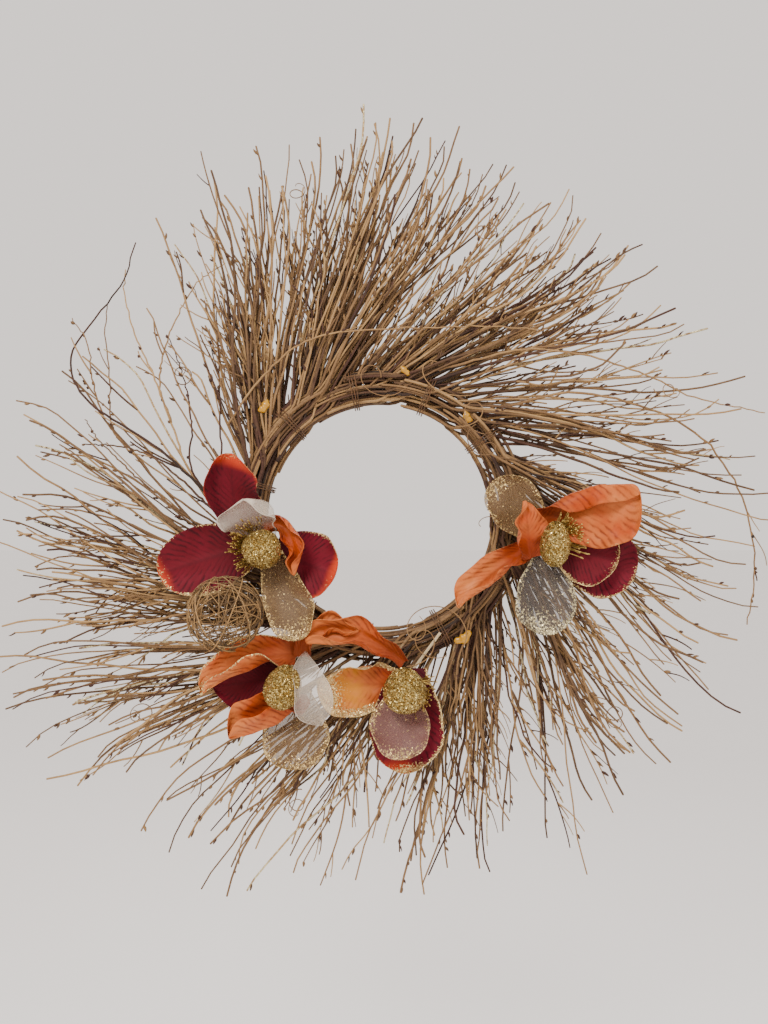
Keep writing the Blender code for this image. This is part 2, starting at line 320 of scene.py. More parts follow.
def fabric_finish(name, ground, deep, rim, patch_and_highlight, rim_start, vein_count, patchy, rough, crumple):
    """Printed petal cloth: a ground colour with deeper veins and midrib, painted shade towards the root where
    it lies deep in the flower, lighter patches that are partly mottled colour and partly painted highlights,
    a dyed rim and glittered edges. A petal with much glitter is also amber towards its tip."""
    finish = Finish(name)
    along, across = finish.own("along"), abs(finish.own("across"))
    edge = along.most(across)
    veins = vein_pattern(finish, vein_count, 0.42, 1.7)
    midrib = 1 - across.step(0.0, 0.10)
    cloud = finish.noise(26.0, 3.0)
    # lighter patches, growing towards the tip: partly mottled colour, partly painted highlights
    colour = finish.blend(((cloud - 0.32) * patchy * (0.3 + along)).held(), ground, patch_and_highlight)
    colour = finish.blend((veins * VEIN_DEPTH).held(), colour, deep)
    colour = finish.blend(midrib * 0.22, colour, deep)
    # painted shade: darker towards the root, deep in the flower under the egg and the other petals
    colour = finish.blend((1 - along.step(0.05, 0.55)) * 0.55, colour, deep)
    dyed = (0.5 * along + 0.5 * edge + (finish.noise(16.0, 2.0) - 0.5) * 0.5
            + 0.12 * (finish.own("dye") - 1)).step(rim_start, 1.04)
    colour = finish.blend(dyed, colour, rim)
    gilt = ((finish.own("glitter") - 2.0) * along.step(0.20, 0.70)).held()
    colour = finish.blend(gilt * finish.noise(60.0, 3.0).step(0.30, 0.60) * 0.8, colour, AMBER)
    weave = finish.noise(1900.0, 1.0)
    colour = finish.blend(weave * 0.18, colour, (0.02, 0.01, 0.01), "MULTIPLY")
    uneven = (finish.noise(24.0, 2.0) - 0.5) * 0.5
    shore = (edge + uneven - 0.10 + 0.10 * finish.own("glitter")).step(0.80, 1.08)
    crumbs = (finish.noise(620.0, 2.0) + 0.45 * shore).step(0.80, 0.90)
    crust = (finish.own("glitter") * crumbs).held()
    colour = finish.blend(crust, colour, finish.blend(finish.noise(1400.0), GOLD, PALE_GOLD))
    folds = finish.noise(48.0, 3.0)
    pressed = finish.bump(0.35 * (1 - veins) + weave * 0.10 + crust + folds * crumple, 0.0012, 0.6)
    sparkling = finish.tilted(finish.flakes(1600.0), 1.4)
    return finish.surface(Base_Color=colour, Roughness=rough - (rough - 0.3) * crust, Metallic=0.85 * crust,
                          Specular_IOR_Level=0.16, Sheen_Weight=0.04,
                          Normal=finish.either(crust, pressed, sparkling))


def sheer_finish(name, threads, density, glittered, flake=GOLD):
    """Organza: fine threads with see-through gaps, a closer hem and gold crumbs, thicker near the rim.
    density is the share of it that thread covers."""
    finish = Finish(name)
    along, across = finish.own("along"), abs(finish.own("across"))
    edge = along.most(across)
    cloud = finish.noise(40.0, 3.0)
    weave = finish.noise(1500.0, 2.0)
    crumbs = finish.noise(520.0, 3.0)
    near_rim = (edge + (cloud - 0.5) * 0.25).step(0.70, 0.97)
    settled = (crumbs + near_rim * 0.16 + 0.10 * cloud).step(0.66, 0.78)
    crust = (finish.own("glitter") * settled * glittered).held()
    hem = (edge + (cloud - 0.5) * 0.03).step(0.955, 0.985)
    colour = finish.blend(cloud, threads, tuple(channel * 0.72 for channel in threads))
    colour = finish.blend(crust, colour, finish.blend(finish.noise(1300.0), flake, PALE_GOLD))
    cover = (density + 0.30 * (weave - 0.5) + 0.50 * (cloud - 0.5) + 0.40 * hem).held()
    woven = finish.bump(weave, 0.0004, 0.6)
    sparkling = finish.tilted(finish.flakes(1500.0), 1.5)
    return finish.surface(Base_Color=colour, Roughness=0.55 - 0.25 * crust, Metallic=0.85 * crust,
                          Alpha=cover.most(crust), Normal=finish.either(crust, woven, sparkling))


def glitter_finish():
    """Gold glitter: tipped flakes with painted glints, each from dark gold to pale gold, and dark gaps
    between.
    """
    finish = Finish("gold_glitter")
    flakes = finish.flakes(GLITTER_SCALE)
    gap = finish.flakes(GLITTER_SCALE, "Distance").step(0.40, 0.80)
    flake_glint = finish.node("SeparateColor", values={0: flakes}, output=1)
    # painted glints: each flake's own brightness, from dark gold to pale gold, stands in for the light it
    # catches
    colour = finish.blend(flake_glint.step(0.20, 0.85), tint(112, 82, 28), tint(252, 228, 152))
    colour = finish.blend(finish.noise(70.0, 2.0).step(0.5, 0.72) * 0.35, colour, tint(150, 112, 46))
    colour = finish.blend(gap * 0.65, colour, tint(60, 43, 18))
    return finish.surface(Base_Color=colour, Roughness=0.22 + 0.35 * gap, Metallic=0.92,
                          Normal=finish.tilted(flakes, 1.45))


def filament_finish():
    """Gold tinsel: a noise of two golds, with flakes that tip the light."""
    finish = Finish("gold_filament")
    colour = finish.blend(finish.noise(500.0), tint(150, 118, 52), tint(226, 196, 118))
    return finish.surface(Base_Color=colour, Roughness=0.34, Metallic=0.8,
                          Normal=finish.tilted(finish.flakes(2200.0), 0.7))


def raffia_finish():
    """Raffia: dry flat fibre, each strand its own tone, with long fine streaks and a few gold crumbs."""
    finish = Finish("raffia_strand")
    tone = finish.own("tone")
    streak = finish.noise(700.0, 3.0)
    colour = finish.blend((tone + (streak - 0.5) * 0.5).held(), tint(50, 35, 20), tint(168, 130, 82))
    crumbs = finish.noise(600.0, 2.0).step(0.66, 0.74)
    colour = finish.blend(crumbs, colour, PALE_GOLD)
    return finish.surface(Base_Color=colour, Roughness=0.75 - 0.4 * crumbs, Metallic=0.7 * crumbs,
                          Normal=finish.bump(streak, 0.0005, 0.6))


def glue_finish():
    """Set glue: glossy amber of two depths, with shallow dents."""
    finish = Finish("amber_glue")
    colour = finish.blend(finish.noise(120.0), tint(158, 104, 10), tint(196, 146, 28))
    dented = finish.bump(finish.noise(150.0), 0.0005, 0.5)
    return finish.surface(Base_Color=colour, Roughness=0.18 + 0.2 * finish.noise(200.0), Normal=dented)


def stalk_finish():
    """Paper tape wound on the picks' stalks, in two creams."""
    finish = Finish("wrapped_stalk")
    bands = finish.noise(260.0, 2.0)
    colour = finish.blend(bands, tint(156, 132, 96), tint(204, 186, 150))
    return finish.surface(Base_Color=colour, Roughness=0.6 + 0.2 * bands, Normal=finish.bump(bands, 0.0008))


# ---------------------------------------------------------------- meshes worked out on grids

def mesh_of(name, points, loops, sizes, material, numbers, smooth=True):
    """An object from points, the corners of all its faces in one row, the number of corners of each face,
    and the named numbers that its points carry."""
    mesh = bpy.data.meshes.new(name)
    mesh.vertices.add(len(points))
    mesh.vertices.foreach_set("co", np.ascontiguousarray(points, np.float32).ravel())
    mesh.loops.add(len(loops))
    mesh.loops.foreach_set("vertex_index", np.ascontiguousarray(loops, np.int32))
    mesh.polygons.add(len(sizes))
    mesh.polygons.foreach_set("loop_start", np.concatenate(([0], np.cumsum(sizes)[:-1])).astype(np.int32))
    mesh.update(calc_edges=True)
    mesh.polygons.foreach_set("use_smooth", np.full(len(sizes), smooth))
    for label, values in numbers.items():
        kept = mesh.attributes.new(label, "FLOAT", "POINT")
        kept.data.foreach_set("value", np.ascontiguousarray(values, np.float32).ravel())
    mesh.validate()
    mesh.materials.append(material)
    piece = bpy.data.objects.new(name, mesh)
    bpy.context.scene.collection.objects.link(piece)
    return piece


def unit(vectors):
    """Vectors divided by their own lengths."""
    return vectors / np.maximum(np.linalg.norm(vectors, axis=-1, keepdims=True), 1e-9)


def tube_arrays(paths, radii, sides, facing=(0.0, 1.0, 0.0), flat=1.0):
    """Closed tubes along many paths at once: circles square to each path, joined by quads, with a point at
    each end. facing is a direction that no path runs along, and flat thins the tube along it."""
    count, length, _ = paths.shape
    ahead = unit(np.gradient(paths, axis=1))
    facing = np.broadcast_to(np.asarray(facing, float).reshape(-1, 1, 3), (count, 1, 3))
    side = unit(np.cross(ahead, facing))
    up = np.cross(side, ahead)
    turn = np.arange(sides) * 2 * pi / sides
    ring = (np.cos(turn)[:, None] * side[:, :, None, :] + flat * np.sin(turn)[:, None] * up[:, :, None, :])
    walls = paths[:, :, None, :] + ring * radii[:, :, None, None]
    ends = paths[:, [0, -1]] + ahead[:, [0, -1]] * radii[:, [0, -1], None] * np.array((-0.6, 0.8))[:, None]
    points = np.concatenate((walls.reshape(count, -1, 3), ends), 1)
    each = length * sides + 2
    step, spot = np.meshgrid(np.arange(length - 1), np.arange(sides), indexing="ij")
    after = (spot + 1) % sides
    quads = np.stack((step * sides + spot, step * sides + after,
                      (step + 1) * sides + after, (step + 1) * sides + spot), -1).reshape(-1, 4)
    spot, after = np.arange(sides), (np.arange(sides) + 1) % sides
    last = (length - 1) * sides
    first_cap = np.stack((after, spot, np.full(sides, each - 2)), -1)
    last_cap = np.stack((last + spot, last + after, np.full(sides, each - 1)), -1)
    one = np.concatenate((quads.ravel(), first_cap.ravel(), last_cap.ravel()))
    loops = (one + (np.arange(count) * each)[:, None]).ravel()
    sizes = np.tile(np.concatenate((np.full(len(quads), 4), np.full(2 * sides, 3))), count)
    way = np.concatenate((np.repeat(np.linspace(0, 1, length), sides), (0.0, 1.0)))
    return points.reshape(-1, 3), loops, sizes, np.tile(way, count), each


def tubes_piece(name, sets, material):
    """One piece from sets of tubes. A set is (paths, radii, sides, tones, glitter, facing, flat)."""
    points, loops, sizes, tones, glitters = [], [], [], [], []
    start = 0
    for paths, radii, sides, tone, glitter, facing, flat in sets:
        tube_points, corners, size, way, each = tube_arrays(paths, radii, sides, facing, flat)
        points.append(tube_points)
        loops.append(corners + start)
        sizes.append(size)
        tones.append(np.repeat(tone, each))
        glitters.append(np.repeat(glitter, each) * way**2)
        start += len(tube_points)
    numbers = {"tone": np.concatenate(tones), "glitter": np.concatenate(glitters)}
    return mesh_of(name, np.concatenate(points), np.concatenate(loops), np.concatenate(sizes), material,
                   numbers)


def plain_set(paths, radii, sides, tone, glitter=0.0, facing=(0.0, 1.0, 0.0), flat=1.0):
    """A set of tubes for tubes_piece, with single numbers spread over all its tubes."""
    count, length, _ = paths.shape
    radii = np.broadcast_to(radii, (count, length))
    return (paths, radii, sides, np.broadcast_to(tone, count), np.broadcast_to(glitter, count), facing, flat)


def finished(piece, slot, *nodes):
    """Puts a piece on the wreath's one body and hides the CAD nodes that it stands for; slot is not used."""
    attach(piece, BODY)
    if nodes:
        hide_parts(*nodes)


# ---------------------------------------------------------------- twigs

# Clockwise from the first bundle: how many main twigs it has, and how many degrees past its butt the first
# of them leave the ring.
TWIGS = (35, 36, 47, 50, 44, 52, 68, 6, 64, 90, 78)
FIRST_LEAVING = (5, 5, 5, 5, 5, 5, 5, 5, 11, 5, 5)
LAST_LEAVING = 27         # and how many degrees past its butt the last of them leave it, in every bundle
STEPS = 30                # points along a main twig
LASHED = -0.40            # share of a twig's way that lies along the ring, before it leaves


def twig_paths(draw, count, butt, first, reach):
    """Main twigs of one bundle. The way runs from the lashed end through 0, where the twig leaves the ring.
    Clock angle: the leaving angle plus the lead times 1 - (1 - way)^1.7. Radius: the ring's plus the reach
    times way^1.3. Waves of three lengths, growing along, and a curl at the tip are added to both."""
    share = (draw.integers(0, 6, count) + 0.5 + draw.normal(0, 0.30, count)) / 6
    leaves = butt + first + (LAST_LEAVING - first) * share + draw.normal(0, 2.0, count)
    lead = 40 + 5 * share + draw.normal(0, 4.5, count)
    length = reach * (0.36 + 0.62 * draw.random(count) ** 0.65)
    lead = lead * (0.50 + 0.50 * length / reach)
    way = np.linspace(LASHED, 1, STEPS)[None, :]
    free = np.maximum(way, 0)
    ahead = np.where(way < 0, 1.7 * way, 1 - (1 - free) ** 1.7)
    clock = leaves[:, None] + lead[:, None] * ahead
    spin, spread = draw.random(count) * 2 * pi, np.sqrt(draw.random(count)) * (BUNDLE_R - 0.0015)
    across, depth = spread * np.cos(spin), spread * np.sin(spin)
    radius = RING_R + across[:, None] * (1 + 0.5 * free) + length[:, None] * free**1.3
    flare = np.clip(draw.normal(-0.010, 0.020, count), -0.050, 0.012)
    deep = depth[:, None] * (1 + 0.3 * free) + flare[:, None] * free**1.6
    for waves, size in ((0.8, 0.0042), (2.3, 0.0018), (5.1, 0.0009)):
        phase = draw.random((3, count, 1)) * 2 * pi
        beat = 2 * pi * waves * free
        grow = size * free * (0.4 + draw.random((count, 1)))
        clock = clock + np.degrees(grow * np.sin(beat + phase[0]) / np.maximum(radius, 0.1))
        radius = radius + 0.7 * grow * np.sin(beat + phase[1])
        deep = deep + grow * np.sin(beat + phase[2])
    clock = clock + draw.normal(0, 3.5, (count, 1)) * free**3
    thick = draw.uniform(0.00105, 0.0018, (count, 1))
    return polar(clock, radius, deep), thick * (1 - 0.42 * free)


def offshoots(draw, parents, count, low, high, size, thick, steps, open_angle):
    """Side twigs: each leaves a random parent part way along, at an angle to it, and bends back towards the
    parent's own direction with the square of its way."""
    row = draw.integers(0, len(parents), count)
    spot = draw.uniform(low, high, count) * (parents.shape[1] - 1)
    base = spot.astype(int)
    blend = (spot - base)[:, None]
    following = parents[row, np.minimum(base + 1, parents.shape[1] - 1)]
    start = parents[row, base] * (1 - blend) + following * blend
    ahead = unit(following - parents[row, base - 1])
    spread = unit(np.cross(ahead, draw.normal(0, 1, (count, 3)) + np.array((0.0, 1.6, 0.0))))
    angle = np.radians(draw.uniform(*open_angle, count))[:, None]
    length = draw.uniform(*size, count)[:, None, None]
    way = np.linspace(0, 1, steps)[None, :, None]
    forward = ahead * np.cos(angle)
    sideways = spread * np.sin(angle)
    sway = unit(np.cross(forward, sideways))[:, None, :] * np.sin(way * 5.0 + spot[:, None, None]) * 0.05
    grown = forward[:, None] * way + sideways[:, None] * (way - 0.35 * way**2) + sway * way
    taper = 1 - 0.35 * np.linspace(0, 1, steps)[None, :]
    return start[:, None] + length * grown, draw.uniform(*thick, (count, 1)) * taper


def held_back(paths):
    """Paths between the door and the flowers. Where a depth comes within EASE of either limit, it levels
    off as a hyperbolic tangent. The front limit is the flowers' back, and past their petals it moves
    forward with the distance from the ring's centre, as a smooth step."""
    offset = paths - CENTRE
    step = np.clip((np.hypot(offset[..., 0], offset[..., 2]) - FLOWERS_END) / SPREAD_OVER, 0, 1)
    front = -BUNDLE_R - FLOWERS_GAP - SPREAD * step**2 * (3 - 2 * step)
    depth = paths[..., 1]
    past = np.maximum(depth - (DOOR - EASE), 0)
    before = np.maximum(front + EASE - depth, 0)
    levelled = depth - past + EASE * np.tanh(past / EASE) + before - EASE * np.tanh(before / EASE)
    return np.stack((paths[..., 0], levelled, paths[..., 2]), -1)


def tones_for(draw, count):
    """Tones of twigs: mostly tan and brown, about one in ten dark."""
    dark = draw.random(count) < 0.10
    return np.where(dark, draw.uniform(0.10, 0.28, count), draw.uniform(0.34, 0.98, count))


def make_bundle(number, finish):
    """One bundle: main twigs, side twigs, fine ends and buds in pairs."""
    name = f"twig_bundle_{number + 1:02d}"
    draw = np.random.default_rng(100 + number)
    butt = clock_of(middle_of(f"tie_wire_{number + 1:02d}")) - 5
    count = TWIGS[number]
    paths, radii = twig_paths(draw, count, butt, FIRST_LEAVING[number], reach_of(name))
    paths = held_back(paths)
    tone = tones_for(draw, count)
    glitter = (draw.random(count) < 0.05) * 1.0
    sets = [plain_set(paths, radii, 6, tone, glitter)]
    side, side_r = offshoots(draw, paths, int(count * 1.5), 0.30, 0.86, (0.030, 0.095), (0.0008, 0.0013), 9,
                             (14, 34))
    side = held_back(side)
    side_tone = tones_for(draw, len(side))
    side_glitter = (draw.random(len(side)) < 0.06) * 1.0
    sets.append(plain_set(side, side_r, 5, side_tone, side_glitter))
    fine, fine_r = offshoots(draw, side, int(count * 1.1), 0.25, 0.8, (0.015, 0.045), (0.0005, 0.0008), 6,
                             (18, 48))
    fine = held_back(fine)
    sets.append(plain_set(fine, fine_r, 4, tones_for(draw, len(fine)), 0.0))
    for parents, many in ((paths, count * 5), (side, count * 2)):
        buds, _ = offshoots(draw, parents, many, 0.36, 0.99, (0.0035, 0.0090), (0.001, 0.002), 4, (24, 60))
        swell = np.array((0.9, 1.15, 0.9, 0.35)) * draw.uniform(0.0006, 0.0014, (many, 1))
        sets.append(plain_set(buds, swell, 4, draw.uniform(0.15, 0.75, many)))
    finished(tubes_piece(name + "_twigs", sets, finish), "twigs", name)


def smooth_path(points, steps):
    """A smooth path through given points: Catmull-Rom arcs between each pair."""
    points = np.asarray(points, float)
    ends = np.concatenate((2 * points[:1] - points[1:2], points, 2 * points[-1:] - points[-2:-1]))
    spot = np.linspace(0, len(points) - 1 - 1e-6, steps)
    first = spot.astype(int)
    t = (spot - first)[:, None]
    a, b, c, d = (ends[first + k] for k in range(4))
    return 0.5 * (2 * b + (c - a) * t + (2 * a - 5 * b + 4 * c - d) * t**2 + (3 * b - a - 3 * c + d) * t**3)


# Twigs that stand alone, as (tone, thickness, points), with points as (right, forward, up) from the ring's
# centre.
LONE_TWIGS = (
    (0.10, 0.0015, (
        (-0.150, 0.000, -0.010), (-0.189, 0.008, 0.036), (-0.224, 0.014, 0.068), (-0.262, 0.020, 0.092),
        (-0.290, 0.022, 0.112), (-0.308, 0.020, 0.140), (-0.308, 0.014, 0.170), (-0.281, 0.008, 0.212),
        (-0.262, 0.004, 0.242), (-0.252, 0.002, 0.280))),
    (0.95, 0.0013, (
        (-0.150, -0.004, -0.010), (-0.195, 0.002, 0.047), (-0.208, 0.004, 0.082), (-0.222, 0.006, 0.118),
        (-0.235, 0.006, 0.152), (-0.252, 0.004, 0.189), (-0.262, 0.002, 0.224), (-0.263, 0.000, 0.253))),
    (0.80, 0.0011, (
        (-0.212, 0.005, 0.094), (-0.224, 0.008, 0.131), (-0.218, 0.010, 0.169), (-0.205, 0.010, 0.204),
        (-0.185, 0.008, 0.238), (-0.158, 0.006, 0.258))),
    (0.22, 0.0012, (
        (-0.165, 0.004, 0.005), (-0.191, 0.008, 0.047), (-0.190, 0.010, 0.084), (-0.193, 0.010, 0.114),
        (-0.202, 0.008, 0.148), (-0.215, 0.006, 0.180))),
    (0.55, 0.0012, (
        (-0.165, 0.002, -0.010), (-0.217, 0.008, 0.025), (-0.242, 0.010, 0.055), (-0.264, 0.010, 0.076),
        (-0.273, 0.008, 0.098), (-0.275, 0.006, 0.131), (-0.281, 0.004, 0.184), (-0.279, 0.004, 0.216))),
    (0.60, 0.0011, (
        (-0.256, 0.010, 0.068), (-0.278, 0.014, 0.098), (-0.288, 0.016, 0.131), (-0.296, 0.014, 0.174),
        (-0.313, 0.010, 0.199))),
    (0.38, 0.0014, (
        (-0.155, 0.006, -0.010), (-0.185, 0.010, 0.021), (-0.217, 0.012, 0.050), (-0.244, 0.012, 0.064),
        (-0.273, 0.010, 0.070), (-0.302, 0.008, 0.071))),
    (0.50, 0.0012, (
        (-0.165, 0.008, -0.024), (-0.227, 0.014, 0.023), (-0.259, 0.016, 0.052), (-0.284, 0.014, 0.077),
        (-0.297, 0.012, 0.096))),
    (0.30, 0.0012, (
        (-0.140, 0.004, 0.010), (-0.159, 0.008, 0.047), (-0.162, 0.010, 0.114), (-0.164, 0.010, 0.165),
        (-0.168, 0.008, 0.226))),
    (0.85, 0.0012, (
        (-0.152, 0.018, 0.090), (-0.120, 0.025, 0.133), (-0.083, 0.028, 0.166), (-0.035, 0.029, 0.181),
        (0.044, 0.030, 0.184), (0.104, 0.029, 0.186), (0.160, 0.024, 0.184))),
    (0.70, 0.0014, (
        (0.115, 0.014, 0.105), (0.190, 0.020, 0.122), (0.262, 0.020, 0.108), (0.320, 0.014, 0.080),
        (0.360, 0.008, 0.030), (0.377, 0.004, -0.020), (0.380, 0.000, -0.070), (0.372, 0.000, -0.112))),
    (0.80, 0.0013, (
        (0.060, 0.018, 0.145), (0.150, 0.022, 0.165), (0.240, 0.018, 0.150), (0.320, 0.010, 0.118),
        (0.392, 0.006, 0.104))),
)


def make_lone_twigs(finish):
    """Lone twigs: smooth paths through chosen points, thinner towards their tips, with side twigs."""
    draw = np.random.default_rng(7)
    steps = 44
    sets, mains = [], []
    for tone, thick, points in LONE_TWIGS:
        path = smooth_path(points, steps) * np.array((1.0, -1.0, 1.0)) + CENTRE
        path = path + draw.normal(0, 0.0005, path.shape)
        mains.append(path)
        way = np.linspace(0, 1, steps)
        sets.append(plain_set(path[None], thick * (1 - 0.55 * way)[None], 7, tone, 0.0))
    mains = np.array(mains)
    side, side_r = offshoots(draw, mains, 20, 0.35, 0.9, (0.012, 0.045), (0.0006, 0.0010), 9, (18, 42))
    sets.append(plain_set(side, side_r, 5, tones_for(draw, 20)))
    for parents, many in ((mains, 44), (side, 20)):
        buds, _ = offshoots(draw, parents, many, 0.25, 0.98, (0.003, 0.006), (0.001, 0.002), 4, (30, 65))
        swell = np.array((0.8, 1.3, 1.1, 0.35)) * draw.uniform(0.0008, 0.0015, (many, 1))
        sets.append(plain_set(buds, swell, 5, draw.uniform(0.0, 0.5, many)))
    finished(tubes_piece("lone_twigs", sets, finish), "twigs")


# Loose vine curls, as (clock angle, radius, depth forward, size, turns, direction of travel, tone).
CURLS = ((20, 0.134, 0.026, 0.030, 0.6, 80, 0.9), (36, 0.130, 0.027, 0.020, 1.0, 120, 0.85),
         (52, 0.124, 0.026, 0.014, 1.3, 150, 0.7), (105, 0.128, 0.026, 0.020, 0.9, 330, 0.8),
         (150, 0.130, 0.026, 0.024, 1.2, 280, 0.85), (168, 0.132, 0.028, 0.020, 1.1, 90, 0.8),
         (352, 0.135, 0.024, 0.020, 0.9, 100, 0.8), (20, 0.300, 0.020, 0.010, 1.6, 60, 0.7),
         (66, 0.310, 0.018, 0.009, 1.8, 110, 0.7), (130, 0.300, 0.018, 0.010, 1.5, 170, 0.6),
         (196, 0.290, 0.020, 0.009, 1.8, 200, 0.6), (230, 0.300, 0.020, 0.010, 1.6, 250, 0.6),
         (305, 0.240, 0.012, 0.009, 1.8, 330, 0.4), (345, 0.330, 0.018, 0.009, 1.6, 20, 0.6))


CURL_R = 0.00062          # half a vine curl's thickness, where it is thickest


def make_curls(finish):
    """Vine curls: circles whose size shrinks along the way while their centre travels."""
    clock, radius, depth, size, turns, travel, tone = np.array(CURLS).T
    way = np.linspace(0, 1, 40)
    travelled = out(travel)[:, None] * (size * 1.6)[:, None, None] * way[:, None]
    centre = polar(clock, radius, -depth)[:, None] + travelled
    spin = way * turns[:, None] * 2 * pi + clock[:, None]
    shrink = size[:, None] * (1 - 0.45 * way)
    right, upward = np.array((1.0, 0.0, 0.0)), np.array((0.0, 0.25, 0.95))
    ring = (np.cos(spin) * shrink)[..., None] * right + (np.sin(spin) * shrink)[..., None] * upward
    curls = plain_set(centre + ring, CURL_R * (1 - 0.4 * way), 5, tone)
    finished(tubes_piece("vine_curls", [curls], finish), "twigs")


# ---------------------------------------------------------------- wire

def make_hoop(finish):
    """The wire ring: a round tube along a circle, with its ends meeting at the top."""
    clock = np.linspace(0, 360, 145)
    path = polar(clock, np.full(len(clock), RING_R), np.full(len(clock), WIRE_DEPTH))
    hoop = plain_set(path[None], WIRE_R, 10, 0.5)
    finished(tubes_piece("ring_hoop", [hoop], finish), "ring_wire", "wire_ring")


TIE_R = 0.00055           # half a binding wire's thickness
TIE_LOOP_R = 0.0202       # half a binding wire's reach across the ring
TIE_INSET = 0.0007        # how far its middle stays inside the CAD tie's box, front and back


def make_ties(finish):
    """Binding wires: oval helices round the bundle and the hoop, fitted to each CAD tie's box."""
    for number in range(len(TWIGS)):
        node = f"tie_wire_{number + 1:02d}"
        draw = np.random.default_rng(300 + number)
        low, high = box_of(node)
        clock = clock_of(middle_of(node))
        half_depth, mid_depth = (high[1] - low[1]) / 2 - TIE_INSET, (high[1] + low[1]) / 2
        turn = np.linspace(-0.15, 3.1, 90) * 2 * pi
        along = (turn / (2 * pi) - 1.5) * 1.15 + 0.12 * np.sin(turn * 1.7 + number)
        wobble = 1 + 0.012 * np.sin(turn * 2.3 + draw.random() * 6)
        path = polar(clock + along, RING_R + TIE_LOOP_R * wobble * np.cos(turn),
                     mid_depth + half_depth * wobble * np.sin(turn))
        tie = plain_set(path[None], TIE_R, 6, 0.5)
        finished(tubes_piece(f"binding_wire_{number + 1:02d}", [tie], finish), "binding_wire", node)


# ---------------------------------------------------------------- petals

class Flower:
    """Where one flower stands: its axis runs forward through the egg, from the back of its pick."""

    def __init__(self, name):
        self.name = name
        egg = middle_of(name + "_egg")
        self.foot = np.array((egg[0], box_of(name + "_pick")[1][1], egg[2]))


def outline(way, root, peak, point):
    """Half width of a petal along its way: it grows from its root with a sine, and closes past its widest
    place like an ellipse, more pointed as point grows."""
    grow = root + (1 - root) * np.sin(pi / 2 * np.clip(way / peak, 0, 1)) ** 1.3
    close = np.clip(1 - (np.clip(way - peak, 0, 1) / (1 - peak)) ** 2, 0, 1) ** (0.5 + point)
    return np.maximum(np.where(way < peak, grow, close), 0.02)


EDGE_WAVES = 2.5          # waves along a petal's edge
CLOTH = 0.0004            # a petal's thickness
POST_FRONT = 0.0035       # where layer 0 of the petals starts, in front of the post's foot
LAYER = 0.0037            # how far each layer of petals is from the next
ROOT_OUT = 0.007          # from the post's axis to a petal's root


